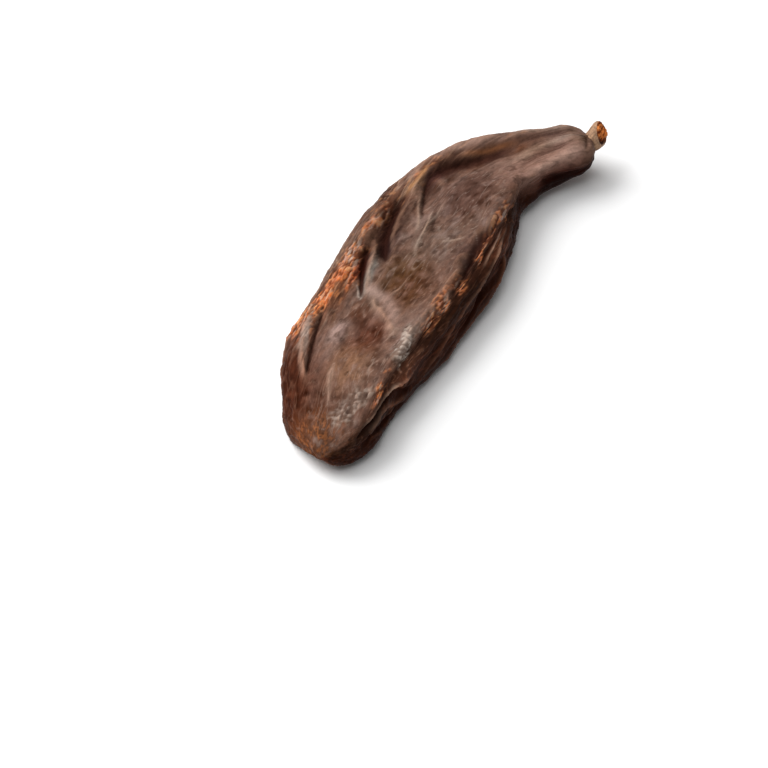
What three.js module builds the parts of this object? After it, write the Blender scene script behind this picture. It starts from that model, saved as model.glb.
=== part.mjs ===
// A dried carob pod with the stub of its stalk, lying on one of its broad faces.
// Millimetres, +Z up. X runs from the blossom end (-X) to the stalk end (+X).
import * as THREE from 'three';
import { LoftGeometry } from 'three/addons/geometries/LoftGeometry.js';

// ---- driving dimensions ----

// Middle line of the pod: its course seen from above, and how far each place is lifted off
// the surface. The pod runs nearly straight, then bends into a narrow neck at the stalk end.
const MIDDLE_LINE = [
  [-49.7, -9.5, 1.2],
  [-42.0, -7.0, 0.0],
  [-31.0, -2.5, 0.0],
  [-17.0, -0.1, 0.0],
  [-2.0, 1.5, 0.0],
  [11.0, 3.0, 0.0],
  [21.0, 4.0, 0.0],
  [29.0, 3.2, 0.6],
  [35.0, 0.0, 1.4],
  [40.5, -4.1, 2.4],
  [46.0, -8.5, 3.3],
];

// At the same places: half the width, and the thickness of the left and of the right rim.
const GIRTH = [
  [6.7, 6.6, 8.2],
  [9.0, 7.8, 10.8],
  [11.7, 8.6, 12.6],
  [13.5, 9.0, 13.0],
  [14.5, 9.2, 12.8],
  [14.3, 9.2, 12.4],
  [12.6, 9.0, 11.8],
  [9.6, 8.6, 10.4],
  [6.8, 7.8, 9.0],
  [5.2, 7.0, 7.8],
  [4.7, 6.4, 6.9],
];

// Rounding of the two ends.
const BLOSSOM_ROUNDING = 10.5; // length over which the blossom end rounds off
const NECK_ROUNDING = 5.0;     // length over which the neck rounds off
const BLUNTNESS = 0.06;        // share of the section left at the very ends

// The section: a rounded slab with a sunken face above and below and a groove along each edge.
const SQUARENESS = 3.0;     // exponent of the rounded outline, where 2 is an ellipse
const SLAB_GAIN = 1.25;     // slab height for each unit of rim thickness
const UPPER_HOLLOW = 0.19;  // depth of the upper sunken face, as a share of the slab height
const LOWER_HOLLOW = 0.15;  // depth of the lower sunken face, the same way
const HOLLOW_WIDTH = 0.62;  // half width of the sunken faces, as a share of the half width
const HOLLOW_START = 16.0;  // distance from the blossom end where the hollows are full
const NECK_HOLLOW = 0.25;   // share of the hollows left on the neck
const NECK_SPAN = [26, 38]; // places along the middle line's X where they fade into the neck
const SUTURE_DEPTH = 0.05;  // depth of the edge grooves, as a share of the half width
const SUTURE_SPREAD = 0.2;  // half height of those grooves, as a share of the half height
const SETTLE = 0.105;       // share of the slab height by which the rims lie flat below

const SECTIONS = 62;
const POINTS_PER_SECTION = 36;

// The stalk: it leaves the neck straight, then turns to the right and upwards, and flares.
const STALK_GAP = 0.25;     // from the tip of the neck to the foot of the stalk
const STALK_RAISE = 1.0;    // how far above the middle of the neck it leaves
const STALK_OFFSET = 0.6;   // how far to the left of the middle it leaves
const STALK_FOOT = 0.5;     // straight length at the foot
const STALK_REACH = 1.8;    // length after the turn
const STALK_HEADING = THREE.MathUtils.degToRad(-60);
const STALK_RISE = THREE.MathUtils.degToRad(34);
const STALK_RADII = [1.75, 1.7, 1.65, 1.75, 1.95, 2.2, 2.4, 2.45, 2.1];
const STALK_SIDES = 18;

// ---- the pod ----

function curveThrough(rows) {
  const points = rows.map((row) => new THREE.Vector3(...row));
  return new THREE.CatmullRomCurve3(points, false, 'catmullrom', 0.5);
}

const middleLine = curveThrough(MIDDLE_LINE);
const girth = curveThrough(GIRTH);
const blossomTip = middleLine.getPoint(0);
const neckTip = middleLine.getPoint(1);

// Quarter-ellipse rise from 0 at an end to 1 at the given length from it.
function roundedEnd(distance, length) {
  const remaining = 1 - Math.min(distance / length, 1);
  return Math.sqrt(1 - remaining * remaining);
}

// Cosine or sine bent towards a rounded slab's outline.
function squared(value) {
  return Math.sign(value) * Math.pow(Math.abs(value), 2 / SQUARENESS);
}

// Share of the full hollows at a place on the middle line.
function hollowShare(place, fromBlossom) {
  const opening = THREE.MathUtils.smoothstep(fromBlossom, 0, HOLLOW_START);
  const fading = THREE.MathUtils.smoothstep(place.x, ...NECK_SPAN);
  return opening * THREE.MathUtils.lerp(1, NECK_HOLLOW, fading);
}

// One closed section across the middle line, going round from the left edge over the top.
function podSection(t) {
  const place = middleLine.getPoint(t);
  const [halfWidth, leftRim, rightRim] = girth.getPoint(t).toArray();
  const heading = middleLine.getTangent(t).setZ(0).normalize();
  const left = new THREE.Vector3(-heading.y, heading.x, 0);
  const fromBlossom = place.distanceTo(blossomTip);
  const fromNeck = place.distanceTo(neckTip);
  const rounding = roundedEnd(fromBlossom, BLOSSOM_ROUNDING) * roundedEnd(fromNeck, NECK_ROUNDING);
  const fullness = Math.max(rounding, BLUNTNESS);
  const hollow = hollowShare(place, fromBlossom);

  const section = [];
  for (let i = 0; i < POINTS_PER_SECTION; i += 1) {
    const angle = (2 * Math.PI * i) / POINTS_PER_SECTION;
    const across = squared(Math.cos(angle));
    const up = squared(Math.sin(angle));
    const slab = SLAB_GAIN * THREE.MathUtils.lerp(rightRim, leftRim, (across + 1) / 2);
    const face = hollow * Math.exp(-Math.pow(across / HOLLOW_WIDTH, 4));
    const sunken = (up > 0 ? UPPER_HOLLOW : LOWER_HOLLOW) * face;
    const suture = 1 - SUTURE_DEPTH * Math.exp(-Math.pow(up / SUTURE_SPREAD, 2));
    const height = place.z + slab * (0.5 - SETTLE + (0.5 - sunken) * up * fullness);
    const point = place.clone().addScaledVector(left, halfWidth * fullness * across * suture);
    section.push(point.setZ(Math.max(height, 0)));
  }
  return section;
}

function podGeometry() {
  const sections = [];
  for (let i = 0; i <= SECTIONS; i += 1) {
    // Closer together towards both ends, where the outline turns quickly.
    sections.push(podSection((1 - Math.cos((Math.PI * i) / SECTIONS)) / 2));
  }
  return new LoftGeometry(sections, { closed: true, capStart: true, capEnd: true });
}

// ---- the stalk ----

function stalkGeometry() {
  const onward = middleLine.getTangent(1).setZ(0).normalize();
  const turned = new THREE.Vector3(
    Math.cos(STALK_HEADING) * Math.cos(STALK_RISE),
    Math.sin(STALK_HEADING) * Math.cos(STALK_RISE),
    Math.sin(STALK_RISE),
  );
  const left = new THREE.Vector3(-onward.y, onward.x, 0);
  const foot = podSection(1).reduce((sum, point) => sum.add(point), new THREE.Vector3());
  foot.divideScalar(POINTS_PER_SECTION).addScaledVector(onward, STALK_GAP);
  foot.addScaledVector(left, STALK_OFFSET);
  foot.z += STALK_RAISE;
  const bend = foot.clone().addScaledVector(onward, STALK_FOOT);
  const end = bend.clone().addScaledVector(turned, STALK_REACH);
  const course = new THREE.QuadraticBezierCurve3(foot, bend, end);

  const sections = STALK_RADII.map((radius, i) => {
    const t = i / (STALK_RADII.length - 1);
    const centre = course.getPoint(t);
    const turn = new THREE.Quaternion().setFromUnitVectors(onward, course.getTangent(t));
    const sideways = left.clone().applyQuaternion(turn);
    const upwards = new THREE.Vector3(0, 0, 1).applyQuaternion(turn);
    const ring = [];
    for (let j = 0; j < STALK_SIDES; j += 1) {
      const angle = (2 * Math.PI * j) / STALK_SIDES;
      const point = centre.clone().addScaledVector(sideways, radius * Math.cos(angle));
      ring.push(point.addScaledVector(upwards, radius * Math.sin(angle)));
    }
    return ring;
  });
  return new LoftGeometry(sections, { closed: true, capStart: true, capEnd: true });
}

// ---- assembly ----

const podSkin = new THREE.MeshStandardMaterial({ color: 0x4a3029, roughness: 0.55, metalness: 0 });
const stalkWood = new THREE.MeshStandardMaterial({ color: 0x9a5f33, roughness: 0.85, metalness: 0 });

const pod = new THREE.Mesh(podGeometry(), podSkin);
pod.name = 'pod';

const stalk = new THREE.Mesh(stalkGeometry(), stalkWood);
stalk.name = 'stalk';

const carobPod = new THREE.Group();
carobPod.add(pod, stalk);

// The origin is on the surface it lies on, under the middle of its overall box.
const middle = new THREE.Box3().setFromObject(carobPod).getCenter(new THREE.Vector3());
carobPod.position.set(-middle.x, -middle.y, 0);

export default carobPod;
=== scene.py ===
import bpy
import numpy as np
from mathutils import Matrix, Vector


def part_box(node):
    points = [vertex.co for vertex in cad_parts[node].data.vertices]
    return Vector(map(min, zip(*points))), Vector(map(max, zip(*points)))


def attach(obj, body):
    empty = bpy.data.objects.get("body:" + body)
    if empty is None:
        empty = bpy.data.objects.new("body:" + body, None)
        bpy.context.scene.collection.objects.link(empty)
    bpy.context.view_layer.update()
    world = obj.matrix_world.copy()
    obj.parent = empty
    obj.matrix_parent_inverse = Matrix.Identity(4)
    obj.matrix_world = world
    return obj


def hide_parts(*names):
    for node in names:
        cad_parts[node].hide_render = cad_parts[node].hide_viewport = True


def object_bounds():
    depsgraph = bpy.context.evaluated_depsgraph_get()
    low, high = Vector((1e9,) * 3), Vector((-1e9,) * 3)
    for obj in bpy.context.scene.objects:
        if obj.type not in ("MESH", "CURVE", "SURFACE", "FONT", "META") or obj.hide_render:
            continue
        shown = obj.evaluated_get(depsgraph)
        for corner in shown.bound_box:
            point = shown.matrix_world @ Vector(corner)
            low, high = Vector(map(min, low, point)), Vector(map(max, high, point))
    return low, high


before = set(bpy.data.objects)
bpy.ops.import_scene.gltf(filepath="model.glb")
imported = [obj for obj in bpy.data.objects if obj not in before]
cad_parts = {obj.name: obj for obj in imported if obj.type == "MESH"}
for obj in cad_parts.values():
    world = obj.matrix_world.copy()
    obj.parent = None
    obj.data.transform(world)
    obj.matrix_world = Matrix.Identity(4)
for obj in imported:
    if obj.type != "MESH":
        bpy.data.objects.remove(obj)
cad_low, cad_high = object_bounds()

# ---- The table ------------------------------------------------------------------------------
# A plain matt white board, far larger than the pod, that it lies on. It isn't part of the pod.

TABLE_HALF = 1.6


def node(tree, kind, sockets=None, **settings):
    """Adds one shader node: settings are its own options, sockets are values or links in."""
    made = tree.nodes.new("ShaderNode" + kind)
    for name, value in settings.items():
        setattr(made, name, value)
    for name, value in (sockets or {}).items():
        if isinstance(value, bpy.types.NodeSocket):
            tree.links.new(value, made.inputs[name])
        else:
            made.inputs[name].default_value = value
    return made


def new_material(name):
    """An empty node material: returns it, its node tree and its surface socket."""
    material = bpy.data.materials.new(name)
    material.use_nodes = True
    tree = material.node_tree
    tree.nodes.clear()
    return material, tree, tree.nodes.new("ShaderNodeOutputMaterial").inputs["Surface"]


def new_piece(name, vertices, faces, material):
    """A smooth-shaded mesh object at the origin, its place in its vertices."""
    mesh = bpy.data.meshes.new(name)
    mesh.from_pydata(vertices.tolist(), [], faces)
    mesh.materials.append(material)
    mesh.polygons.foreach_set("use_smooth", [True] * len(mesh.polygons))
    mesh.update()
    piece = bpy.data.objects.new(name, mesh)
    bpy.context.scene.collection.objects.link(piece)
    return piece


table_white, tree, surface = new_material("table_white")
coordinates = node(tree, "TexCoord").outputs["Object"]
grain = node(tree, "TexNoise", {"Vector": coordinates, "Scale": 9.0, "Detail": 3.0}).outputs["Fac"]
tone = node(tree, "MapRange", {"Value": grain, "To Min": 0.84, "To Max": 0.88}).outputs["Result"]
matt = node(tree, "BsdfPrincipled", {"Base Color": tone, "Roughness": 0.9, "Specular IOR Level": 0.1})
tree.links.new(matt.outputs["BSDF"], surface)

corners = np.array([(-1, -1, 0), (1, -1, 0), (1, 1, 0), (-1, 1, 0)]) * TABLE_HALF
table = new_piece("table", corners, [(0, 1, 2, 3)], table_white)

# ---- Camera and light -----------------------------------------------------------------------
# A very long lens looks down on the upper face from beyond the blossom end, with the pod rising
# to the upper right. A broad soft light hangs to the pod's left and leaves its right side dark.

CAMERA_AZIMUTH = -57.5
CAMERA_HEIGHT = 45.0
FRAME_WIDTH = 0.1421  # width of what the camera takes in, at the pod
FRAME_LEFT = 0.0060   # how far the frame's middle is to the left of the pod's middle
FRAME_BELOW = 0.0204  # and how far below it
LENS_MM = 1200.0
FAR_CLIP = 20.0
SKY_STRENGTH = 0.22


def direction(azimuth, height):
    """Unit vector towards a place seen from the pod: azimuth 0 is at -Y and 90 degrees at +X."""
    azimuth, height = np.radians(azimuth), np.radians(height)
    level = np.cos(height)
    return Vector((np.sin(azimuth) * level, -np.cos(azimuth) * level, np.sin(height)))


def place_facing(name, data, aim, towards, distance):
    """A camera or lamp, set at a distance from what it looks at."""
    thing = bpy.data.objects.new(name, data)
    thing.rotation_euler = towards.to_track_quat("Z", "Y").to_euler()
    thing.location = aim + towards * distance
    bpy.context.scene.collection.objects.link(thing)
    return thing


pod_middle = (cad_low + cad_high) / 2
back = direction(CAMERA_AZIMUTH, CAMERA_HEIGHT)
sideways = direction(CAMERA_AZIMUTH + 90, 0)
upwards = back.cross(sideways)
aim = pod_middle - sideways * FRAME_LEFT - upwards * FRAME_BELOW
lens = bpy.data.cameras.new("camera")
lens.lens = LENS_MM
lens.clip_end = FAR_CLIP
camera_distance = FRAME_WIDTH * LENS_MM / lens.sensor_width
bpy.context.scene.camera = place_facing("camera", lens, aim, back, camera_distance)

# name, azimuth and height in degrees, distance and size in metres, watts
LAMPS = [
    ("key", -168.0, 47.0, 0.60, 0.60, 4.5),
    ("overhead", -110.0, 74.0, 0.80, 0.90, 5.0),
]
for name, azimuth, height, distance, size, watts in LAMPS:
    lamp = bpy.data.lights.new(name, "AREA")
    lamp.shape = "DISK"
    lamp.size = size
    lamp.energy = watts
    place_facing(name, lamp, pod_middle, direction(azimuth, height), distance)

world = bpy.data.worlds.new("studio")
world.use_nodes = True
sky = world.node_tree.nodes["Background"]
sky.inputs["Color"].default_value = (1.0, 1.0, 1.0, 1.0)
sky.inputs["Strength"].default_value = SKY_STRENGTH
bpy.context.scene.world = world
bpy.context.scene.view_settings.view_transform = "Standard"

# ---- The pod --------------------------------------------------------------------------------
# The ripe, dried fruit: a flat leathery pod grown in one piece, with a thick rim along each
# edge and a sunken, creased face above and below. Its skin is dark brown under a thin grey-mauve
# wax, worn through to orange-brown cork along the rims. Painted sheen, highlights and shade are
# laid into its colour.

# Middle line (x, y and lift off the table) and girth (half width, thickness of the left and of
# the right rim) in mm, at the same places from the blossom tip to the end of the neck.
MIDDLE_LINE = np.array([
    (-49.7, -9.5, 1.2), (-42.0, -7.0, 0.0), (-31.0, -2.5, 0.0), (-17.0, -0.1, 0.0),
    (-2.0, 1.5, 0.0), (11.0, 3.0, 0.0), (21.0, 4.0, 0.0), (29.0, 3.2, 0.6),
    (35.0, 0.0, 1.4), (40.5, -4.1, 2.4), (46.0, -8.5, 3.3),
])
GIRTH = np.array([
    (6.7, 6.6, 8.2), (9.0, 7.8, 10.8), (11.7, 8.6, 12.6), (13.5, 9.0, 13.0),
    (14.5, 9.2, 12.8), (14.3, 9.2, 12.4), (12.6, 9.0, 11.8), (9.6, 8.6, 10.4),
    (6.8, 7.8, 9.0), (5.2, 7.0, 7.8), (4.7, 6.4, 6.9),
])
BLOSSOM_ROUNDING = 10.5   # mm over which the blossom end rounds off
NECK_ROUNDING = 5.0       # mm over which the neck rounds off
BLUNTNESS = 0.03          # share of the section left at the very ends
SQUARENESS = 3.0          # exponent of the rounded outline, where 2 is an ellipse
SLAB_GAIN = 1.25          # slab height for each unit of rim thickness
UPPER_HOLLOW = 0.19       # depth of the upper sunken face, as a share of the slab height
LOWER_HOLLOW = 0.15       # depth of the lower sunken face, the same way
HOLLOW_WIDTH = 0.62       # half width of the sunken faces, as a share of the half width
HOLLOW_START = 16.0       # mm from the blossom end where the hollows are full
NECK_HOLLOW = 0.25        # share of the hollows left on the neck
NECK_SPAN = (26.0, 38.0)  # places along the middle line's X where they fade into the neck
SUTURE_DEPTH = 0.05       # depth of the edge grooves, as a share of the half width
SUTURE_SPREAD = 0.2       # half height of those grooves, as a share of the half height
SETTLE = 0.105            # share of the slab height by which the rims lie flat below

STEPS_ALONG = 300         # rings of the skin's grid
STEPS_ROUND = 330         # places in each ring
CREASED_TURN = 72.0       # degrees round where the deep creases are, which get the finest steps
CREASED_SPREAD = 26.0     # degrees to either side of it that get fine steps too
SHARE_STEP = 1e-4         # share of the middle line over which its way is measured
CLOSING_RINGS = 3         # rings at each end that are too small for normals of their own
LINE_SAMPLES = 72         # places worked out along each drawn line
PATCH_DEPTH = 5.0         # mm below an oval patch where it has faded to a third
WAVE_PITCH = 4.2          # radians that a typical wave of the skin turns over its size
THIN_RIDGE = 0.8          # mm: narrower ridges are worn pale and get a painted highlight
WIDE_SLOPE = 3.0          # mm: wider folds get no painted shade
SOFT_CONTACT = 0.12       # mm over which the skin flattens onto the table
MM = 0.001


def through(stops, share):
    """Smooth curve through the stops: cubic pieces that leave each stop parallel to the line
    between its neighbours. share runs from 0 at the first stop to 1 at the last."""
    last = len(stops) - 1
    place = np.clip(share, 0, 1) * last
    piece = np.minimum(place.astype(int), last - 1)
    f = (place - piece)[..., None]
    padded = np.vstack([2 * stops[0] - stops[1], stops, 2 * stops[-1] - stops[-2]])
    before, start, end, after = (padded[piece + i] for i in range(4))
    leaving, arriving = (end - before) / 2, (after - start) / 2
    rise = f * f * (3 - 2 * f)
    return start * (1 - rise) + end * rise + leaving * f * (1 - f) ** 2 - arriving * f * f * (1 - f)


def ease(value, low, high):
    """0 below low, 1 above high, and a smooth step between them."""
    share = np.clip((value - low) / (high - low), 0, 1)
    return share * share * (3 - 2 * share)


def rounded_end(distance, length):
    """Quarter of an ellipse: 0 at an end of the pod, 1 at the given length from it."""
    return np.sqrt(1 - (1 - np.minimum(distance / length, 1)) ** 2)


def squared(value):
    """A cosine or sine bent towards the outline of a rounded slab."""
    return np.sign(value) * np.abs(value) ** (2 / SQUARENESS)


course = through(MIDDLE_LINE, np.linspace(0, 1, 4001))
course_length = np.append(0, np.cumsum(np.linalg.norm(np.diff(course[:, :2], axis=0), axis=1)))
POD_LENGTH = course_length[-1]


def pod_shape(along, turn):
    """The plain pod, with no creases: (places, straightened places) in mm.

    Across the middle line each section is a superellipse, as wide and thick as the girth curve
    says there. Both faces sink by a share of the thickness times exp(-(across / width) ** 4),
    each edge has a groove, and the whole section shrinks as a quarter-ellipse at the two ends.
    along is in mm from the blossom tip. turn goes round in radians from the left edge over the
    upper face. The straightened place is (along, offset to the left, height)."""
    share = np.interp(along, course_length, np.linspace(0, 1, len(course)))
    middle, girth = through(MIDDLE_LINE, share), through(GIRTH, share)
    ahead = through(MIDDLE_LINE, share + SHARE_STEP) - through(MIDDLE_LINE, share - SHARE_STEP)
    ahead = ahead[..., :2] / np.linalg.norm(ahead[..., :2], axis=-1, keepdims=True)
    left = np.stack([-ahead[..., 1], ahead[..., 0]], -1)
    from_blossom = np.linalg.norm(middle - MIDDLE_LINE[0], axis=-1)
    from_neck = np.linalg.norm(middle - MIDDLE_LINE[-1], axis=-1)
    rounding = rounded_end(from_blossom, BLOSSOM_ROUNDING) * rounded_end(from_neck, NECK_ROUNDING)
    fullness = np.maximum(rounding, BLUNTNESS)
    across, up = squared(np.cos(turn)), squared(np.sin(turn))
    slab = SLAB_GAIN * (girth[..., 2] + (girth[..., 1] - girth[..., 2]) * (across + 1) / 2)
    open_share = 1 + (NECK_HOLLOW - 1) * ease(middle[..., 0], *NECK_SPAN)
    hollow = ease(from_blossom, 0, HOLLOW_START) * open_share
    sunken = hollow * np.exp(-((across / HOLLOW_WIDTH) ** 4))
    sunken = sunken * np.where(up > 0, UPPER_HOLLOW, LOWER_HOLLOW)
    height = middle[..., 2] + slab * (0.5 - SETTLE + (0.5 - sunken) * up * fullness)
    suture = 1 - SUTURE_DEPTH * np.exp(-((up / SUTURE_SPREAD) ** 2))
    offset = girth[..., 0] * fullness * across * suture
    flat = middle[..., :2] + left * offset[..., None]
    places = np.concatenate([flat, np.maximum(height, 0)[..., None]], -1)
    return places, np.stack([along + 0 * offset, offset, height], -1)


# Steps along: even on the straight part, and even over the rounding of both ends.
round_blossom, round_neck = BLOSSOM_ROUNDING * np.pi / 2, NECK_ROUNDING * np.pi / 2
straight_part = POD_LENGTH - BLOSSOM_ROUNDING - NECK_ROUNDING
walk = np.linspace(0, round_blossom + straight_part + round_neck, STEPS_ALONG + 2)[1:-1]
walk_left = round_blossom + straight_part + round_neck - walk
along_steps = np.where(
    walk < round_blossom,
    BLOSSOM_ROUNDING * (1 - np.cos(walk / BLOSSOM_ROUNDING)),
    np.where(
        walk_left < round_neck,
        POD_LENGTH - NECK_ROUNDING * (1 - np.cos(walk_left / NECK_ROUNDING)),
        walk - round_blossom + BLOSSOM_ROUNDING,
    ),
)
# Steps round: even along the belly's outline, but denser where the deep creases are and sparser
# underneath.
all_turns = np.linspace(0, 2 * np.pi, 2001)
belly = pod_shape(np.full(all_turns.shape, POD_LENGTH / 2), all_turns)[0]
pace = np.linalg.norm(np.diff(belly, axis=0), axis=1)
upper = ease(np.sin(all_turns[1:]), -0.5, -0.1)
creased = np.exp(-(((all_turns[1:] - np.radians(CREASED_TURN)) / np.radians(CREASED_SPREAD)) ** 2))
paced = np.append(0, np.cumsum(pace * (0.4 + 0.6 * upper + 0.6 * creased)))
turn_steps = np.interp(np.linspace(0, paced[-1], STEPS_ROUND + 1)[:-1], paced, all_turns)

along, turn = np.meshgrid(along_steps, turn_steps, indexing="ij")
places, straightened = pod_shape(along, turn)

# The plain pod's box is brought onto the CAD pod's box.
box_low, box_high = (np.array(corner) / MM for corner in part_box("pod"))
plain_low, plain_high = places.min((0, 1)), places.max((0, 1))
fit_scale = (box_high - box_low) / (plain_high - plain_low)
fit_shift = box_low - plain_low * fit_scale
places = places * fit_scale + fit_shift


def outward(grid):
    """Unit normals of a grid of places, closed round its second way."""
    down_grid = np.gradient(grid, axis=0)
    round_grid = (np.roll(grid, -1, 1) - np.roll(grid, 1, 1)) / 2
    normals = np.cross(round_grid, down_grid)
    return normals / np.maximum(np.linalg.norm(normals, axis=-1, keepdims=True), 1e-9)


normals = outward(places)
normals[:CLOSING_RINGS] = normals[CLOSING_RINGS]
normals[-CLOSING_RINGS:] = normals[-CLOSING_RINGS - 1]


def uneven_at(points, size, seed, waves=50):
    """Random unevenness with a spread of 1 at points in mm: a sum of cosine waves, each with a
    random way, length and phase. size sets a typical wave's length along each of the axes."""
    draw = np.random.default_rng(seed)
    ways = draw.normal(size=(waves, 3)) * WAVE_PITCH / np.array(size)
    phases = draw.uniform(0, 2 * np.pi, waves)
    return np.cos(points @ ways.T + phases).sum(-1) * np.sqrt(2 / waves)


def unevenness(size, seed, waves=50):
    """Random unevenness of the skin: uneven_at in the pod as straightened, so size is in mm
    along the pod, across it and in height."""
    return uneven_at(straightened, size, seed, waves)


wobble = np.clip(1 + 0.22 * unevenness((5, 2.4, 2.4), 14), 0.6, 1.6)


def line_mark(stops, left, right, sharpness=1.6, taper=0.3):
    """How strongly each place of the skin lies on a line drawn on it, from 0 to 1.

    The line runs smoothly through its stops, each (mm along, degrees round). The strength is
    exp(-(distance / width) ** sharpness), with a width of its own on each side that wavers at
    random, and eases to nothing at both ends over the taper's share of the line."""
    share = np.linspace(0, 1, LINE_SAMPLES)
    drawn = through(np.array(stops, float), share)
    line = pod_shape(drawn[:, 0], np.radians(drawn[:, 1]))[0] * fit_scale + fit_shift
    ahead = np.gradient(line, axis=0)
    reach = 3.0 * max(left, right)
    near = ((places > line.min(0) - reach) & (places < line.max(0) + reach)).all(-1)
    gap = places[near][:, None] - line
    nearest = (gap**2).sum(-1).argmin(1)
    gap = gap[np.arange(len(nearest)), nearest]
    step = np.linalg.norm(ahead, axis=-1)[nearest]
    past = (gap * ahead[nearest]).sum(-1) / step
    gap -= (np.clip(past, -step, step) / step)[:, None] * ahead[nearest]
    reached = np.clip(share[nearest] + past / step / (LINE_SAMPLES - 1), 0, 1)
    on_left = (np.cross(ahead[nearest], gap) * normals[near]).sum(-1) > 0
    width = np.where(on_left, left, right)
    waver = 1 + (wobble[near] - 1) * min(1, 0.9 / max(left, right))
    distance = np.linalg.norm(gap, axis=-1) * waver
    strength = np.exp(-((distance / width) ** sharpness))
    mark = np.zeros(places.shape[:2])
    mark[near] = strength * ease(np.minimum(reached, 1 - reached), 0, taper)
    return mark


def patch_mark(along_mm, degrees, length, width, sharpness=2.0):
    """How strongly each place lies in an oval patch of the skin, from 0 to 1: the strength is
    exp(-r ** sharpness), r being the distance in half lengths along and half widths across. It
    also fades with depth below the patch, so that it stays off the other face."""
    beside = np.array([along_mm + 0.5, along_mm - 0.5, along_mm, along_mm])
    beside_turn = np.radians([degrees, degrees, degrees - 2.0, degrees + 2.0])
    near_by = pod_shape(beside, beside_turn)[0] * fit_scale + fit_shift
    ahead, to_left = near_by[0] - near_by[1], near_by[2] - near_by[3]
    ahead, to_left = ahead / np.linalg.norm(ahead), to_left / np.linalg.norm(to_left)
    gap = places - near_by[2:].mean(0)
    r = np.hypot(gap @ ahead / length, gap @ to_left / width)
    return np.exp(-(r**sharpness) - (gap @ np.cross(ahead, to_left) / PATCH_DEPTH) ** 2)


def thin_lines(size, seed, thinness):
    """Fine lines over the skin, 1 on a line: where an unevenness passes through nought."""
    return np.exp(-((unevenness(size, seed) / thinness) ** 2))


def blurred(field, reach):
    """Mean of the field over the square of cells round each one, taken twice."""
    size = 2 * reach + 1
    for _ in range(2):
        padded = np.pad(field, ((reach, reach), (0, 0)), mode="edge")
        padded = np.pad(padded, ((0, 0), (reach, reach)), mode="wrap")
        total = np.pad(padded.cumsum(0).cumsum(1), ((1, 0), (1, 0)))
        field = total[size:, size:] - total[:-size, size:] - total[size:, :-size] + total[:-size, :-size]
        field = field / size**2
    return field


# Broad swells and hollows of the flesh: height in mm, then the oval patch, which is its middle
# in mm along and degrees round, its half length and its half width in mm.
SWELLS = [
    (-0.9, 30, 90, 5.0, 3.4),     # hollow beside the dome
    (-0.7, 36, 77, 6.0, 1.5),
    (0.6, 29, 79, 3.0, 1.4),
    (1.0, 20, 92, 6.5, 4.0),      # the dome over the first seeds
    (0.5, 54, 97, 9.0, 4.2),      # the flat of the face
    (0.3, 70, 106, 7.0, 3.5),
    (-0.4, 66, 94, 4.0, 2.2),
    (0.35, 26, 131, 5.0, 2.2),
    (0.35, 9, 106, 5.5, 2.5),
    (1.7, 98, 163, 4.0, 3.0),     # the neck's end is full on its right
    (0.6, 6, 2, 0.5, 0.5),        # a nub left by the flower
    (0.35, 82, 208, 4.5, 4.0),    # the side is full where the neck begins
    (-1.5, 2, 318, 4.5, 4.0),     # the blossom end is blunt below
    (0.7, 27, 15, 9.5, 3.5),      # the left edge is full beside the dome
    (-0.5, 75, 188, 4.5, 3.5),    # the side draws in where the neck begins
    (-0.8, 50, 262, 12.0, 5.0),   # two hollows of the underside
    (-0.7, 27, 275, 8.0, 5.0),
]
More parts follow.
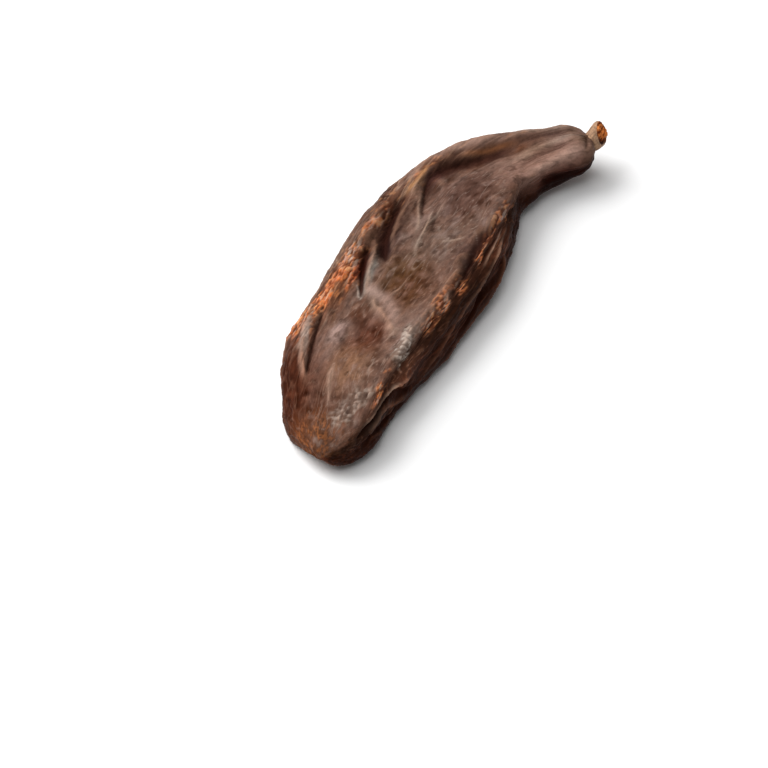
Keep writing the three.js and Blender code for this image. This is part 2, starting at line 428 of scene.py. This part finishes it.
# Creases and ridges: height in mm, width to the left and to the right, then the line's stops.
FOLDS = [
    # the right shoulder slopes away from the face's edge, which stands up as a crest
    (0.55, 3.0, 4.5, [(22, 192), (34, 196), (48, 194), (60, 189), (68, 186)]),
    (-1.7, 3.0, 3.4, [(2, 158), (16, 152), (32, 148), (48, 148), (62, 148), (73, 154), (83, 174),
                      (91, 176)]),
    (0.5, 1.6, 1.0, [(4, 122), (12, 132), (22, 133), (34, 124), (44, 128), (53, 119), (62, 122),
                     (70, 129), (78, 142), (87, 155), (95, 134)]),
    (-1.1, 0.9, 1.5, [(42, 138), (48, 134), (53, 127), (58, 122), (64, 128), (71, 137)]),
    # the thick left rim
    (0.6, 2.2, 1.8, [(14, 40), (24, 44), (34, 50), (44, 56), (54, 46), (64, 50), (72, 50)]),
    # the deep crease inside the left rim, and the lesser one outside the flap
    (-2.3, 2.2, 0.8, [(46, 83), (50, 78), (53, 73), (57, 67), (61, 63), (66, 59), (71, 54)]),
    (-1.5, 0.8, 0.8, [(37, 81), (41, 76), (45, 69), (49, 64), (56, 57)]),
    (0.7, 0.8, 0.8, [(39, 81), (42, 78), (46, 73), (50, 69), (56, 64)]),
    # the long hollow below the neck's left ridge, which turns down behind the shoulder
    (-1.8, 1.2, 2.6, [(60, 84), (66, 78), (70, 71), (73, 65), (77, 71), (80, 78), (84, 80), (88, 80),
                      (93, 82)]),
    (0.9, 1.2, 1.0, [(72, 42), (78, 42), (82, 55), (85, 65), (90, 70), (95, 74)]),
    (0.5, 0.5, 0.4, [(66, 66), (69, 62), (72, 58), (76, 51)]),
    (0.25, 0.3, 0.3, [(57, 86), (61, 83), (65, 76), (70, 69)]),
    (-0.4, 0.25, 0.4, [(61, 85), (65, 79), (69, 72), (72, 66)]),
    (0.2, 0.25, 0.25, [(50, 91), (55, 89), (60, 88), (65, 88), (70, 88)]),
    (-0.35, 0.4, 0.5, [(58, 91), (62, 89), (67, 87)]),
    (0.25, 0.3, 0.3, [(56, 89), (60, 88), (66, 85)]),
    # the face's left edge below the creases, and the slack fold under it
    (0.4, 0.5, 1.2, [(39, 85), (44, 85), (49, 83), (56, 80)]),
    (0.5, 0.8, 0.7, [(29, 112), (32, 104), (35, 94), (38, 88), (43, 85)]),
    # the crease beside the dome and its pale lip
    (-0.85, 0.45, 0.55, [(15, 67), (19, 66), (23, 64), (27, 60), (32, 55), (37, 53)]),
    (0.5, 0.5, 0.4, [(14, 69), (18, 64), (21, 56), (25, 50), (31, 43)]),
    (0.3, 0.3, 0.5, [(9, 88), (13, 88), (17, 87), (22, 86)]),
    # small wrinkles and a scar on the face
    (0.2, 0.3, 0.3, [(57, 94), (57.5, 99), (58.5, 105), (60, 110)]),
    (0.25, 0.22, 0.22, [(40, 90), (43, 92), (47, 92)]),
    (-0.3, 0.25, 0.3, [(39, 93), (42, 94), (46, 94)]),
    # the seam's ridges along the right side
    (0.35, 0.3, 0.3, [(24, 186), (31, 184), (39, 180), (46, 175), (54, 170), (59, 168), (64, 163),
                      (70, 152)]),
    (0.4, 0.3, 0.35, [(30, 204), (40, 200), (50, 195), (58, 188), (63, 180), (68, 166)]),
    (0.25, 0.25, 0.3, [(54, 159), (58, 155), (63, 152), (67, 148)]),
    (-0.7, 0.6, 0.6, [(28, 194), (37, 192), (44, 187), (51, 181), (57, 177), (62, 173), (68, 162)]),
    # two grooves round the right of the blossom end, and the ridges beside them
    (0.35, 0.3, 0.4, [(4, 140), (9, 149), (14, 162), (20, 173), (30, 180)]),
    (-1.2, 0.5, 0.7, [(3, 158), (6, 155), (10, 161), (15, 171), (21, 180), (30, 187)]),
    (0.3, 0.4, 0.4, [(5, 168), (10, 171), (16, 181), (24, 189)]),
    (-0.9, 0.5, 0.6, [(4, 180), (9, 180), (15, 188), (23, 196)]),
    # the neck: a rounded right ridge, a shallow valley, and the fold where its end turns over
    (0.7, 1.4, 1.3, [(80, 149), (86, 150), (91, 144), (95, 136), (99, 120)]),
    (-0.7, 1.3, 1.4, [(82, 122), (88, 106), (94, 99), (98, 97)]),
    (0.3, 0.6, 0.6, [(82, 96), (89, 92), (95, 90), (98.5, 90)]),
    (0.3, 0.5, 0.7, [(85, 64), (90, 62), (95, 60), (99, 60)]),
    (-0.35, 0.5, 0.5, [(87, 80), (91, 78), (95, 76), (98.5, 76)]),
    (-0.5, 0.35, 0.4, [(97.5, 146), (98.8, 126), (99.4, 104), (99.4, 84)]),
    # the left side and the underside, which the pod hides as it lies
    (-0.9, 0.6, 0.7, [(8, 14), (20, 4), (36, 0), (52, -2), (68, 2)]),
    (0.3, 0.35, 0.35, [(12, 22), (24, 14), (40, 10), (56, 9), (70, 14)]),
    (-0.6, 0.5, 0.5, [(30, -14), (44, -12), (58, -14), (72, -10), (84, 0)]),
    (-1.3, 0.7, 1.0, [(24, 246), (34, 252), (45, 258), (54, 256)]),
    (-1.1, 0.9, 0.6, [(46, 292), (56, 286), (66, 280), (75, 284)]),
    (0.5, 0.6, 0.6, [(30, 300), (42, 296), (52, 300)]),
    (-0.7, 0.6, 0.6, [(10, 280), (20, 284), (30, 290)]),
    (-0.9, 0.8, 0.8, [(74, 258), (82, 262), (91, 266)]),
]

swelling = 0.20 * unevenness((26, 9, 9), 1) - 0.15
for height, *where in SWELLS:
    swelling += height * patch_mark(*where)
relief = 0.09 * unevenness((10, 3.4, 3.4), 2)
creases = np.zeros(relief.shape)
ridges = np.zeros(relief.shape)
# Thin ridges wear pale and get a painted highlight later, and creases get painted shade, the more the
# deeper they are.
for height, left, right, stops in FOLDS:
    mark = line_mark(stops, left, right)
    relief += height * mark
    if height > 0:
        ridges = np.maximum(ridges, mark * (right < THIN_RIDGE))
    elif right < WIDE_SLOPE:
        creases = np.maximum(creases, mark * min(1, 0.3 - height * 0.6))

# The wall below the right crest, down to the underside, is sound dark skin with painted shade.
turn_degrees = np.degrees(turn)
wall_top = np.interp(along, [40, 56, 63, 70, 76, 87, 98], [136, 118, 124, 137, 148, 176, 150])
right_side = ease(turn_degrees, wall_top, wall_top + 20) * (1 - ease(turn_degrees, 222, 246))
on_face = np.exp(-(((turn - np.radians(98)) / np.radians(34)) ** 4)) * (1 - ease(along, 78, 90))

# Fine wrinkles run along the pod, fainter on the face.
faintness = (1 - 0.8 * on_face) * (1 - 0.45 * ease(along, 76, 86))
cracks = thin_lines((17, 2.2, 2.2), 3, 0.16) * faintness
fibres = thin_lines((20, 1.7, 1.7), 4, 0.16) * faintness
scratches = thin_lines((11, 1.5, 1.5), 15, 0.09) * on_face
pimples = unevenness((1.3, 0.9, 0.9), 5, 90)
relief += 0.10 * fibres - 0.13 * cracks + 0.02 * pimples
relief += 0.04 * unevenness((6, 1.6, 1.6), 6, 70)

# Worn, corky skin breaks up into lumps: along the left rim, and in spots on the right crest.
cork = line_mark([(22, 22), (29, 28), (36, 42), (41, 54), (46, 52), (54, 46)], 2.6, 3.2, 3, 0.15)
cork = np.maximum(cork, 0.75 * line_mark([(50, 44), (56, 52), (62, 56), (68, 52)], 1.6, 1.6, 3))
cork = np.maximum(cork, 0.6 * line_mark([(68, 56), (72, 54), (78, 48)], 0.8, 0.8, 3))
for where in [(67, 136, 5.0, 2.0), (61, 136, 3.5, 1.9), (56.5, 138, 2.0, 1.6), (47, 138, 3.0, 2.0),
              (42, 136, 3.0, 2.0), (37, 141, 3.0, 1.8), (14, 138, 5.0, 1.3)]:
    cork = np.maximum(cork, 0.9 * patch_mark(*where, 3.0))
cork *= ease(cork + 0.35 * unevenness((7, 2.6, 2.6), 7), 0.25, 0.75)
lumps = ease(unevenness((1.9, 0.9, 0.9), 8, 90), -0.3, 1.1)
relief += cork * (0.34 * lumps - 0.12) * (0.3 + 0.7 * ease(along, 24, 36))

# Thick grey wax, cracked and rough, near the blossom end.
ash = np.maximum.reduce([
    line_mark([(3, 95), (8, 99), (12, 109), (16, 122)], 2.5, 2.5, 3),
    line_mark([(21, 142), (24, 139), (28, 132), (32, 123), (37, 114)], 2.3, 2.3, 3),
    0.8 * line_mark([(20, 48), (25, 50), (30, 44), (34, 40)], 0.8, 0.6, 3),
])
ash *= ease(ash + 0.3 * unevenness((4, 2.4, 2.4), 9), 0.2, 0.6)
flakes = unevenness((1.5, 1.2, 1.2), 10, 90)
relief += ash * 0.11 * flakes

# The relief dies out where the ends close and where the skin lies flat on the table.
resting = ease(straightened[..., 2], -0.6, 0.8)
relief *= ease(along, 0, 0.5) * ease(POD_LENGTH - along, 0, 0.5)
skin = places + normals * ((swelling + relief) * (0.25 + 0.75 * resting))[..., None]
skin[..., 2] = (skin[..., 2] + np.sqrt(skin[..., 2] ** 2 + SOFT_CONTACT**2)) / 2

# ---- Its colours, laid over each other as the skin wears: red, green and blue from 0 to 1.
tint = np.zeros(relief.shape + (3,)) + (0.080, 0.031, 0.017)


def stain(colour, amount):
    """Lays a colour over the skin's tint, by an amount from 0 to 1 at each place."""
    tint[:] += (np.array(colour) - tint) * np.clip(amount, 0, 1)[..., None]


clouds = unevenness((12, 5, 5), 11)
spots = unevenness((3.2, 1.8, 1.8), 12, 70)
specks = unevenness((1.0, 0.8, 0.8), 13, 90)
blotches = unevenness((6, 3.0, 3.0), 17, 70)
left_rim = np.exp(-(((turn_degrees - 38) / 30) ** 4)) * ease(along, 24, 40)
neck = ease(along, 76, 86) * (1 - right_side)
stain((0.120, 0.055, 0.035), 0.5 + 0.3 * clouds)
stain((0.045, 0.016, 0.009), 0.25 + 0.3 * spots)
stain((0.122, 0.070, 0.052), on_face * (0.8 + 0.25 * spots))
# pale lilac-grey blotches on the face: mottled wax and a painted sheen
stain((0.210, 0.138, 0.114), on_face * ease(blotches, 0.4, 1.8) * 0.45)
stain((0.056, 0.025, 0.015), on_face * ease(-blotches, 0.5, 1.8) * 0.6)
stain((0.120, 0.058, 0.036), left_rim * (0.7 + 0.3 * clouds))
# the neck's upper side painted paler: paler skin and a painted sheen
stain((0.170, 0.095, 0.072), neck * 0.85)
# the right side painted near black: dark skin and painted shade
stain((0.016, 0.005, 0.0025), right_side * 0.93)

STAINS = [
    # colour, amount, then the oval patch
    ((0.075, 0.034, 0.014), 0.95, (46, 91, 7.0, 4.5)),    # olive brown round the scar
    ((0.080, 0.037, 0.016), 0.95, (41, 107, 5.0, 5.0)),
    ((0.068, 0.030, 0.019), 0.8, (71, 98, 7.0, 5.5)),     # darker towards the neck
    ((0.056, 0.019, 0.009), 0.95, (29, 94, 5.5, 3.4)),    # brown hollow
    ((0.060, 0.022, 0.011), 0.90, (35, 84, 4.0, 2.4)),
    ((0.040, 0.016, 0.010), 0.70, (22, 116, 2.5, 2.5)),
    ((0.185, 0.094, 0.054), 0.9, (20, 92, 6.5, 4.0)),     # tan dome, with a painted highlight
    ((0.250, 0.165, 0.140), 0.9, (28, 79, 3.5, 1.5)),     # lilac wax with a painted sheen, here and in the next patch
    ((0.185, 0.118, 0.096), 0.7, (22, 74, 7.0, 2.2)),
    # a painted highlight along the inner slope of the right crest
    ((0.170, 0.105, 0.085), 0.6, (37, 116, 8.0, 2.6)),
    ((0.034, 0.010, 0.004), 0.95, (11, 34, 14.0, 8.0)),   # dark warm brown left of the crease
    ((0.028, 0.010, 0.006), 0.9, (57, 132, 12.0, 2.2)),   # painted shade below the face's right edge
    ((0.120, 0.040, 0.016), 0.9, (3, 62, 5.5, 6.0)),      # red brown blossom end
    ((0.080, 0.032, 0.016), 0.7, (6, 86, 4.0, 3.0)),
    ((0.210, 0.120, 0.095), 0.9, (90, 147, 9.0, 2.0)),    # pinkish right ridge of the neck, with a painted highlight
    ((0.095, 0.055, 0.032), 0.6, (99, 110, 2.5, 6.0)),    # greenish brown where the neck ends
    ((0.150, 0.060, 0.030), 0.7, (80, 80, 3.0, 1.5)),     # rusty spots in the neck's hollow
    ((0.150, 0.060, 0.030), 0.7, (87, 84, 2.5, 1.2)),
]
for colour, amount, where in STAINS:
    stain(colour, amount * patch_mark(*where, 3.0) * (0.85 + 0.3 * spots))

stain((0.034, 0.013, 0.007), ease(spots, 0.5, 2.0) * 0.6)
stain((0.190, 0.115, 0.086), on_face * ease(-spots, 0.6, 2.2) * 0.5)
stain((0.270, 0.190, 0.150), scratches * 0.45)
red_cork = patch_mark(2, 60, 4.5, 5.5, 3.0) * ease(specks + 0.8 * spots, 0.3, 1.5)
stain((0.260, 0.085, 0.028), red_cork * 0.8)
# thin ridges painted pale: wear and a painted highlight, less on the dark right side
stain((0.310, 0.215, 0.165), ridges * (0.6 - 0.35 * right_side))
stain((0.300, 0.175, 0.110), fibres * left_rim * 0.8)
stain((0.230, 0.155, 0.120), fibres * 0.25 * (1 - right_side))
stain((0.115, 0.050, 0.030), fibres * 0.40 * right_side)
flecks = left_rim * ease(unevenness((3.0, 0.8, 0.8), 16, 90), 0.9, 1.8)
stain((0.330, 0.150, 0.070), flecks * 0.8)
stain((0.130, 0.040, 0.018), cork * 0.9)
stain((0.480, 0.135, 0.036), cork * lumps * 1.3)
stain((0.520, 0.290, 0.150), cork * lumps * ease(blotches + specks, 0.2, 1.6) * 0.9)
stain((0.330, 0.190, 0.145), cork * lumps * ease(-blotches - specks, 0.2, 1.6) * 0.9)
pale_cork = ease(unevenness((4.5, 1.0, 1.0), 18, 80), 0.4, 1.4)
stain((0.430, 0.300, 0.230), cork * pale_cork * 0.7)
stain((0.115, 0.075, 0.055), ash * 0.7)
stain((0.270, 0.205, 0.165), ash * ease(flakes, -0.7, 1.3))
# a painted highlight on the flap between the creases and on the pale lip beside the dome's crease
stain((0.220, 0.180, 0.150), line_mark([(38, 81), (42, 78), (46, 73), (52, 68)], 1.0, 1.0, 3))
stain((0.280, 0.215, 0.180), line_mark([(16, 66), (20, 59), (25, 51), (31, 44)], 0.9, 0.6, 3))
stain((0.420, 0.340, 0.290), line_mark([(38.5, 78), (40, 75.5), (42, 70)], 0.22, 0.22, 2))
stain((0.420, 0.340, 0.290), line_mark([(38, 80), (39.5, 78.5), (42, 76.5)], 0.22, 0.22, 2))

# Lines of another colour: painted shade in the two deep creases and in the hollow under the neck's left
# ridge, a painted highlight on that ridge, a rusty and a golden streak between them, painted shade in a
# groove along the neck and a painted highlight on its right ridge, and the slack pale fold below the
# creases.
STREAKS = [
    # colour, amount, width, then the line's stops
    # painted shade in the two deep creases and in the hollow under the neck's left ridge
    ((0.024, 0.005, 0.002), 0.95, 0.9, [(42, 75), (45, 69), (49, 63), (53, 60)]),
    ((0.024, 0.009, 0.007), 0.97, 2.0, [(48, 81), (51, 77), (54, 73), (58, 69), (62, 65), (67, 60)]),
    ((0.034, 0.014, 0.009), 0.80, 1.7, [(70, 68), (73, 61), (76, 67), (79, 74), (82, 80), (86, 79),
                                        (92, 80)]),
    # a painted highlight on the neck's left ridge
    ((0.290, 0.185, 0.145), 0.70, 0.9, [(64, 40), (70, 42), (75, 36), (78, 40), (80, 50), (84, 63),
                                        (88, 70)]),
    ((0.190, 0.075, 0.032), 0.85, 0.5, [(78, 64), (80, 69), (82, 74), (85, 75), (89, 77)]),
    ((0.330, 0.165, 0.070), 0.80, 0.5, [(75, 47), (72, 56), (70, 59), (66, 57)]),
    # painted shade in the groove along the neck, then a painted highlight on its right ridge
    ((0.075, 0.037, 0.027), 0.75, 0.7, [(87, 80), (91, 78), (95, 76), (99, 76)]),
    ((0.330, 0.220, 0.180), 0.55, 0.8, [(83, 141), (89, 144), (92, 143), (96, 138), (99, 129)]),
    ((0.250, 0.168, 0.138), 0.85, 1.4, [(44, 76), (41, 82), (40, 89), (36, 97), (31, 107)]),
]
for colour, amount, width, stops in STREAKS:
    stain(colour, amount * line_mark(stops, width, width, 2.2))

# Wear lightens what stands out, and painted shade darkens what lies low and the creases; the fine cracks
# are darker too.
proud = relief - blurred(relief, 4)
stain((0.260, 0.140, 0.088), ease(proud, 0.05, 0.35) * 0.40 * (1 - 0.6 * right_side))
stain((0.020, 0.007, 0.004), ease(-proud, 0.06, 0.45) * 0.75)
stain((0.030, 0.009, 0.006), ease(creases, 0.3, 1.0) * 0.7)
stain((0.028, 0.010, 0.006), cracks * 0.5)

# Thin coats of wax and dust, and painted shade, sheen and highlights, which lighten or deepen what is
# under them.
COATS = [
    # a factor for red, green and blue, then the oval patch
    ((0.84, 0.84, 0.90), (71, 92, 7.0, 5.0)),     # the face towards the neck
    ((0.85, 0.72, 0.66), (43, 99, 6.0, 5.0)),     # olive round the scar
    ((2.40, 2.20, 2.00), (62, 160, 6.0, 3.0)),    # top of the right side
    ((0.34, 0.17, 0.14), (94, 186, 9.0, 3.5)),    # painted shade under the neck
    ((0.98, 0.68, 0.62), (45, 67, 3.5, 1.2)),     # painted shade, redder, in the lesser crease
    ((1.55, 1.75, 1.90), (28, 128, 4.5, 2.4)),    # grey wax on the crest, with a painted sheen
    ((0.86, 0.96, 1.10), (66, 140, 6.0, 3.0)),    # cork on the crest
    ((0.82, 0.79, 0.80), (10, 101, 5.0, 4.0)),    # grey wax by the blossom end
    ((1.10, 1.15, 1.20), (96, 83, 4.0, 4.0)),     # top of the neck's end
    ((0.72, 0.70, 0.74), (56, 119, 5.0, 2.5)),    # painted shade in the trough along the crest
    ((0.90, 0.97, 1.00), (57, 92, 6.0, 5.0)),     # the middle of the face
    ((1.25, 1.00, 0.80), (38, 52, 6.0, 3.0)),     # the most orange cork
    ((0.92, 1.08, 1.20), (48, 38, 4.0, 3.0)),     # the greyer cork
    ((1.15, 1.18, 1.20), (29, 79, 4.0, 2.0)),     # lilac wax with a painted sheen
    ((1.18, 1.16, 1.12), (91, 144, 8.0, 2.6)),    # a painted highlight on the neck's right ridge
    ((4.00, 4.20, 4.20), (24, 168, 6.0, 1.8)),    # the right side near the blossom end
    ((0.84, 0.56, 0.44), (15, 38, 11.0, 8.0)),    # left of the crease by the dome
    ((0.68, 0.70, 0.72), (1, 116, 3.0, 4.0)),     # low on the blossom end
    ((0.86, 0.86, 0.88), (60, 42, 9.0, 5.0)),     # the left rim past the cork
    ((0.89, 0.71, 0.65), (30, 92, 6.0, 4.0)),     # the brown hollow
    ((1.20, 1.18, 1.38), (73, 66, 2.5, 1.5)),     # under the neck's left ridge
    ((1.08, 1.16, 1.22), (5, 66, 4.5, 5.0)),      # red brown blossom end
    ((0.76, 0.70, 0.64), (89, 89, 4.5, 2.2)),     # the neck's valley
    ((1.00, 1.11, 1.17), (46, 75, 3.0, 1.0)),     # a painted highlight on the flap between the creases
    ((0.80, 0.84, 0.95), (53, 75, 3.0, 1.5)),     # painted shade in the deep crease
    ((1.06, 1.12, 1.15), (63, 105, 4.0, 3.0)),    # the face by the crest
]
for factor, where in COATS:
    tint *= 1 + (np.array(factor) - 1) * patch_mark(*where, 3.0)[..., None]
low_side = right_side * ease(turn_degrees, 166, 180)  # low on the right side the skin is redder and darker: reddish skin and painted shade
tint *= 1 - low_side[..., None] * (0.0, 0.30, 0.42)

# The grid becomes one closed skin, with a single vertex in the middle of each end.
rows, columns = relief.shape
numbers = np.arange(rows * columns).reshape(rows, columns)
turned = np.roll(numbers, -1, 1)
quads = np.stack([numbers[:-1], turned[:-1], turned[1:], numbers[1:]], -1).reshape(-1, 4).tolist()
blossom_cap = [(rows * columns, b, a) for a, b in zip(numbers[0].tolist(), turned[0].tolist())]
neck_cap = [(rows * columns + 1, a, b) for a, b in zip(numbers[-1].tolist(), turned[-1].tolist())]


def with_ends(grid):
    """The grid's values as a list, followed by the means of its first and its last ring."""
    listed = grid.reshape(rows * columns, -1)
    return np.vstack([listed, listed[:columns].mean(0), listed[-columns:].mean(0)])


def paint(piece, name, kind, values):
    """Stores a value, a colour or a vector for each vertex of a piece."""
    attribute = piece.data.attributes.new(name, kind, "POINT")
    field = {"FLOAT": "value", "FLOAT_COLOR": "color", "FLOAT_VECTOR": "vector"}[kind]
    attribute.data.foreach_set(field, values.astype(np.float32).ravel())


pod_skin, tree, surface = new_material("pod_skin")


def noise(tree, vector, scale, detail, roughness):
    """Noise from about 0.25 to 0.75, with its scale per mm along, across and in height."""
    stretched = node(tree, "Mapping", {"Vector": vector, "Scale": scale}).outputs["Vector"]
    sockets = {"Vector": stretched, "Scale": 1.0, "Detail": detail, "Roughness": roughness}
    return node(tree, "TexNoise", sockets).outputs["Fac"]


def spread(tree, value, low, high, to_low, to_high):
    """The value brought from low..high to to_low..to_high, and held there."""
    sockets = {"Value": value, "From Min": low, "From Max": high, "To Min": to_low, "To Max": to_high}
    return node(tree, "MapRange", sockets).outputs["Result"]


def joined(tree, operation, first, second):
    """Two values added, multiplied or otherwise joined."""
    return node(tree, "Math", {0: first, 1: second}, operation=operation).outputs[0]


def painted(tree, name, output="Fac"):
    """What is painted on the piece under a name."""
    return node(tree, "Attribute", attribute_name=name).outputs[output]


straight = painted(tree, "straight", "Vector")
streaks = noise(tree, straight, (0.5, 1.8, 1.8), 6.0, 0.65)
mottle = noise(tree, straight, (0.55, 0.9, 0.9), 7.0, 0.62)
grains = noise(tree, straight, (2.6, 3.2, 3.2), 4.0, 0.7)
roughened = painted(tree, "roughened")
streaked = spread(tree, streaks, 0.3, 0.7, 0.86, 1.14)
mottled = spread(tree, mottle, 0.3, 0.7, 0.76, 1.26)
grained = spread(tree, grains, 0.3, 0.7, 0.86, 1.14)
shading = joined(tree, "MULTIPLY", joined(tree, "MULTIPLY", streaked, mottled), grained)
tinted = {0: painted(tree, "tint", "Color"), "Scale": shading}
colour = node(tree, "VectorMath", tinted, operation="SCALE")
wax_roughness = spread(tree, mottle, 0.3, 0.7, 0.50, 0.34)
added_roughness = joined(tree, "MULTIPLY", roughened, 0.35)
broad_pores = joined(tree, "MULTIPLY", mottle, 0.5)
broad_pores = joined(tree, "ADD", broad_pores, joined(tree, "MULTIPLY", streaks, 0.35))
fine_pores = joined(tree, "MULTIPLY", grains, spread(tree, roughened, 0.0, 1.0, 0.16, 0.5))
pores = joined(tree, "ADD", broad_pores, fine_pores)
bump = node(tree, "Bump", {"Height": pores, "Distance": 0.0003, "Strength": 0.42})
skin_shader = node(tree, "BsdfPrincipled", {
    "Base Color": colour.outputs["Vector"],
    "Roughness": joined(tree, "ADD", wax_roughness, added_roughness),
    "Normal": bump.outputs["Normal"],
    "Specular IOR Level": 0.02,
    "Specular Tint": (1.0, 0.8, 0.68, 1.0),
})
tree.links.new(skin_shader.outputs["BSDF"], surface)

pod_piece = new_piece("pod_skin", with_ends(skin) * MM, quads + blossom_cap + neck_cap, pod_skin)
opaque = np.append(tint, np.ones(tint.shape[:2] + (1,)), -1)
paint(pod_piece, "tint", "FLOAT_COLOR", with_ends(opaque))
paint(pod_piece, "straight", "FLOAT_VECTOR", with_ends(straightened))
paint(pod_piece, "roughened", "FLOAT", with_ends(np.clip(cork + ash + creases, 0, 1)))

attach(pod_piece, "root")
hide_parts("pod")

# ---- The stalk ------------------------------------------------------------------------------
# The stub of the fruit stalk, which broke off when the pod was picked: a short woody piece that
# grew out of the neck, in grey-brown bark, flaring to a torn end of orange-brown fibres.

STALK_RADII = np.array([(1.75,), (1.7,), (1.95,), (2.4,), (2.5,)])  # mm, foot to rim
CUP_DEPTH = 0.12  # mm that the torn end sinks in its middle
RIM_WEAR = 0.32   # mm that its rim is rounded off
SIDE_RINGS = 56
END_RINGS = 40
RING_STEPS = 120
BARK_GREY = (0.315, 0.184, 0.108)
WOOD_DARK = (0.235, 0.042, 0.004)
WOOD_PALE = (0.640, 0.190, 0.036)
LOBES = [(0.045, 3, 0.7), (0.03, 5, 2.0), (0.05, 1, -1.2)]  # height, number, phase in radians
WRINKLE_SHARE = 0.022      # height of the bark's wrinkles, as a share of the radius
STALK_HEADING = direction(20, 23)  # the way the torn end looks

stalk_low, stalk_high = (np.array(corner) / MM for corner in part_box("stalk"))
stalk_size = stalk_high - stalk_low
onward = np.array(STALK_HEADING)
# The bent middle line, as shares of the stalk's box: from inside the neck to the torn end.
STALK_LINE = np.array([(-0.05, 0.98, 0.00), (0.20, 0.68, 0.30), (0.50, 0.37, 0.66)])
stalk_course = stalk_low + stalk_size * STALK_LINE

round_turn = np.linspace(0, 2 * np.pi, RING_STEPS + 1)[:-1]
side_share, around = np.meshgrid(np.linspace(0, 1, SIDE_RINGS), round_turn, indexing="ij")
end_share, around_end = np.meshgrid(np.linspace(1, 0, END_RINGS)[1:-1], round_turn, indexing="ij")

# The bark is a tube round a bent course, its radius following STALK_RADII with soft lobes and
# lengthwise wrinkles, worn round at the rim. The torn end closes it: rings shrink to the middle
# and sink as a shallow bowl, with fibres standing up at random.
side_middle = through(stalk_course, side_share)
across_way = np.cross(onward, (0, 0, 1.0))
across_way /= np.linalg.norm(across_way)
upright_way = np.cross(across_way, onward)


def ring_places(middle, radius, around):
    """Points at a radius round a middle, in the plane that faces the torn end's way."""
    out = across_way * np.cos(around)[..., None] + upright_way * np.sin(around)[..., None]
    return middle + out * radius[..., None]


lobes = 1 + sum(rise * np.cos(number * around + phase) for rise, number, phase in LOBES)
side_flat = np.stack([side_share * 3, np.cos(around) * 2, np.sin(around) * 2], -1)
bark_wrinkles = uneven_at(side_flat, (3.0, 0.7, 0.7), 21)
side_radius = through(STALK_RADII, side_share)[..., 0] * lobes * (1 + WRINKLE_SHARE * bark_wrinkles)
side_radius -= RIM_WEAR * ease(side_share, 0.84, 1.0) ** 2
side_places = ring_places(side_middle, side_radius, around)
lobes_end = lobes[-1] * (1 + WRINKLE_SHARE * bark_wrinkles[-1])
end_radius = end_share * (STALK_RADII[-1, 0] * lobes_end - RIM_WEAR)
end_flat = np.stack([end_radius * np.cos(around_end), end_radius * np.sin(around_end), 0 * end_radius], -1)
torn = uneven_at(end_flat, (1.6, 0.6, 1.0), 22)
sink = CUP_DEPTH * (1 - end_share**4) - 0.22 * torn * ease(1 - end_share, 0, 0.25)
end_places = ring_places(side_middle[-1], end_radius, around_end) - onward * sink[..., None]
end_middle = end_places[-1].mean(0)
foot_middle = side_places[0].mean(0)
stalk_grid = np.concatenate([side_places, end_places])

bark_spots = uneven_at(side_flat, (1.2, 0.8, 0.8), 23)
bark = np.array(BARK_GREY) * (1 + 0.22 * np.clip(bark_spots, -1.5, 1.5))[..., None]
bark *= (0.75 + 0.25 * ease(side_share, 0.25, 0.6))[..., None]
fibre_share = ease(torn, -0.9, 1.1)[..., None]
wood = np.array(WOOD_DARK) * (1 - fibre_share) + np.array(WOOD_PALE) * fibre_share
# one side of the torn end painted darker: painted shade
shaded_end_side = ease(np.cos(around_end + 0.7), 0.1, 0.9) * ease(end_share, 0.45, 0.8)
wood *= (1 - 0.8 * shaded_end_side)[..., None]
stalk_tint = np.concatenate([bark, wood]).reshape(-1, 3)
stalk_tint = np.vstack([stalk_tint, wood[-1].mean(0), bark[0].mean(0)])
stalk_tint = np.column_stack([stalk_tint, np.ones(len(stalk_tint))])

stalk_wood, tree, surface = new_material("stalk_wood")
in_metres = node(tree, "TexCoord").outputs["Object"]
in_mm = node(tree, "VectorMath", {0: in_metres, "Scale": 1 / MM}, operation="SCALE")
grain = noise(tree, in_mm.outputs["Vector"], (2.4, 2.4, 2.4), 6.0, 0.7)
tinted = {0: painted(tree, "tint", "Color"), "Scale": spread(tree, grain, 0.3, 0.7, 0.6, 1.4)}
colour = node(tree, "VectorMath", tinted, operation="SCALE")
bump = node(tree, "Bump", {"Height": grain, "Distance": 0.0003, "Strength": 0.9})
wood_shader = node(tree, "BsdfPrincipled", {
    "Base Color": colour.outputs["Vector"],
    "Roughness": spread(tree, grain, 0.3, 0.7, 0.65, 0.9),
    "Normal": bump.outputs["Normal"],
    "Specular IOR Level": 0.3,
})
tree.links.new(wood_shader.outputs["BSDF"], surface)

ring_count = len(stalk_grid)
numbers = np.arange(ring_count * RING_STEPS).reshape(ring_count, RING_STEPS)
turned = np.roll(numbers, -1, 1)
quads = np.stack([numbers[:-1], numbers[1:], turned[1:], turned[:-1]], -1).reshape(-1, 4).tolist()
end_cap = [(ring_count * RING_STEPS, b, a) for a, b in zip(numbers[-1].tolist(), turned[-1].tolist())]
foot_cap = [(ring_count * RING_STEPS + 1, a, b) for a, b in zip(numbers[0].tolist(), turned[0].tolist())]
stalk_vertices = np.vstack([stalk_grid.reshape(-1, 3), end_middle, foot_middle]) * MM
stalk_piece = new_piece("stalk_wood", stalk_vertices, quads + end_cap + foot_cap, stalk_wood)
paint(stalk_piece, "tint", "FLOAT_COLOR", stalk_tint)

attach(stalk_piece, "root")
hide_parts("stalk")
